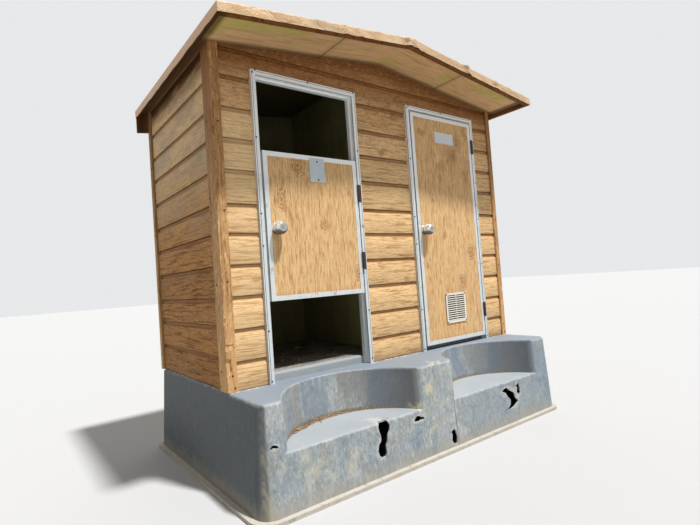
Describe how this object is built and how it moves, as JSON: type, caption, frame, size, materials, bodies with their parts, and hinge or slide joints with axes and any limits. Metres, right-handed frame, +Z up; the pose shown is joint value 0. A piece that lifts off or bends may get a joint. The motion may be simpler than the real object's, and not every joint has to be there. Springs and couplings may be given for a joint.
{
  "type": "two-stall wooden outhouse on a moulded tank",
  "caption": "Boarded wooden outhouse cabin with two stalls, a half-height and a full door, low gabled roof and a stepped moulded tank base.",
  "frame": {"origin": "middle of the tank's underside, where it rests on the ground", "axes": "+Z up; the doors face -Y; +X runs to the right for someone who faces the doors"},
  "size_m": [2.342, 1.524, 2.3382],
  "materials": {
    "tank_shell": "weathered blue-grey moulded plastic with vertical streaks",
    "tank_rim": "pale dirty trimmed edge",
    "floor": "moulded, dirty",
    "boarding": "varnished knotty pine boards",
    "side_boarding": "varnished knotty pine boards, weathered",
    "corner_trim": "planed pine, worn varnish",
    "lining": "dark plywood lining",
    "soffit": "plywood with algae stains",
    "fascia": "stained pine",
    "roof_sheet": "crinkled wood-look sheet",
    "frame_metal": "dull anodised, spotted",
    "door_ply": "varnished knotty plywood",
    "hinge": "dark brown lacquer",
    "knob": "satin stainless steel",
    "vent": "white satin",
    "plate": "pale satin, blank"
  },
  "bodies": {
    "cabin": {"tank": "tank_shell", "tank_bottom": "tank_rim", "floor_pan": "floor", "front_wall_left": "boarding", "front_wall_middle": "boarding", "front_wall_right": "boarding", "front_wall_top": "boarding", "left_wall": "side_boarding", "right_wall": "side_boarding", "back_wall": "boarding", "partition": "lining", "corner_boards_front_left": "corner_trim", "corner_boards_front_right": "corner_trim", "corner_boards_back_left": "corner_trim", "corner_boards_back_right": "corner_trim", "roof_panel_left": "soffit", "roof_panel_right": "soffit", "roof_sheet_left": "roof_sheet", "roof_sheet_right": "roof_sheet", "front_fascia_left": "fascia", "front_fascia_right": "fascia", "back_fascia_left": "fascia", "back_fascia_right": "fascia", "eave_board_left": "fascia", "eave_board_right": "fascia", "left_frame_jambs": "frame_metal", "left_frame_head": "frame_metal", "right_frame_jambs": "frame_metal", "right_frame_head": "frame_metal", "left_frame_hinges": "hinge", "right_frame_hinges": "hinge"},
    "left_door": {"left_door_panel": "door_ply", "left_door_stiles": "frame_metal", "left_door_rails": "frame_metal", "left_door_knob": "knob", "left_door_hinges": "hinge", "left_door_plate": "plate"},
    "right_door": {"right_door_panel": "door_ply", "right_door_stiles": "frame_metal", "right_door_rails": "frame_metal", "right_door_knob": "knob", "right_door_hinges": "hinge", "right_door_vent": "vent"}
  },
  "joints": [
    {"name": "left_door_hinge", "type": "hinge", "parent": "cabin", "child": "left_door", "pos_m": [-0.2375, -0.402, 1.29], "axis": [0, 0, 1], "range_deg": [0, 160]},
    {"name": "right_door_hinge", "type": "hinge", "parent": "cabin", "child": "right_door", "pos_m": [0.8525, -0.402, 1.29], "axis": [0, 0, 1], "range_deg": [0, 160]}
  ]
}
